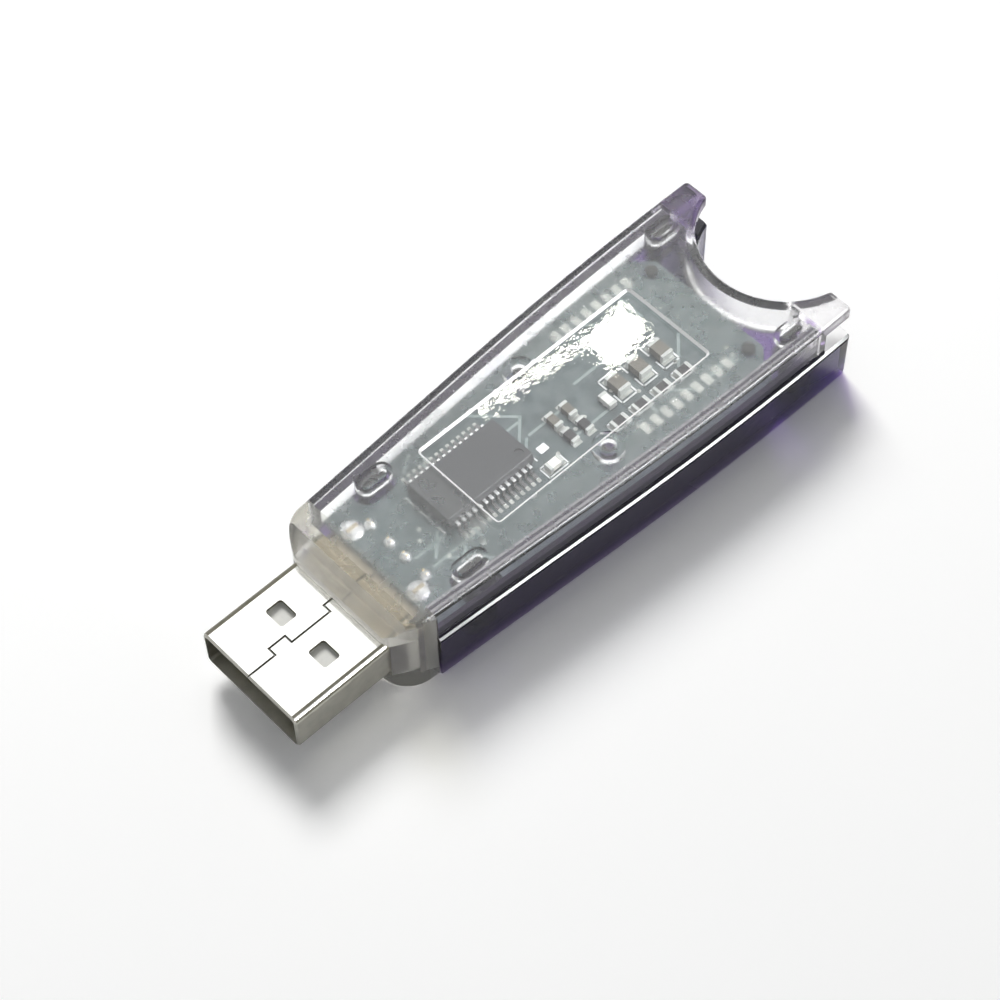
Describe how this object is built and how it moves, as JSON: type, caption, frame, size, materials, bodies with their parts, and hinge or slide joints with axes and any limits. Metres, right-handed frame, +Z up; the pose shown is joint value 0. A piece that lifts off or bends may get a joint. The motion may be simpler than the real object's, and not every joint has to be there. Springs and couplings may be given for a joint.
{
  "type": "usb microcontroller programmer",
  "caption": "USB stick programmer: clear clip-fit cover over a purple tray with a notched tail, a circuit board with a controller chip inside, and a metal type A plug.",
  "frame": {"origin": "under the middle of the whole stick, on the surface that it lies on", "axes": "+X from the plug towards the notched tail, +Z up through the clear cover, +Y across to the left of someone looking along +X"},
  "size_m": [0.0624, 0.0212, 0.0098],
  "materials": {
    "clear_plastic": "clear, slightly rough moulded polycarbonate with a polished window",
    "purple_plastic": "glossy, transparent purple",
    "board": "satin solder mask over glass epoxy",
    "plug_metal": "bright nickel plating",
    "white_plastic": "moulded, off-white",
    "contact_metal": "gold plating",
    "solder": "bright tin",
    "chip_plastic": "black epoxy, finely textured",
    "ceramic": "beige ceramic with tinned ends",
    "resistor_film": "black glaze with tinned ends",
    "light_resin": "milky clear resin with tinned ends"
  },
  "bodies": {
    "root": {"cover": "clear_plastic", "tray": "purple_plastic", "circuit_board": "board", "plug_shell": "plug_metal", "plug_insulator": "white_plastic", "power_contact": "contact_metal", "data_minus_contact": "contact_metal", "data_plus_contact": "contact_metal", "ground_contact": "contact_metal", "shell_leg_solder": "solder", "pin_solder": "solder", "controller_chip": "chip_plastic", "controller_leads": "solder", "input_capacitor": "ceramic", "output_capacitor": "ceramic", "filter_capacitor": "ceramic", "supply_capacitor": "ceramic", "bypass_capacitor": "ceramic", "transmit_resistor": "resistor_film", "receive_resistor": "resistor_film", "clock_resistor": "resistor_film", "data_resistor": "resistor_film", "pull_up_resistor": "resistor_film", "reset_resistor": "resistor_film", "power_light": "light_resin", "activity_light": "light_resin"}
  },
  "joints": []
}
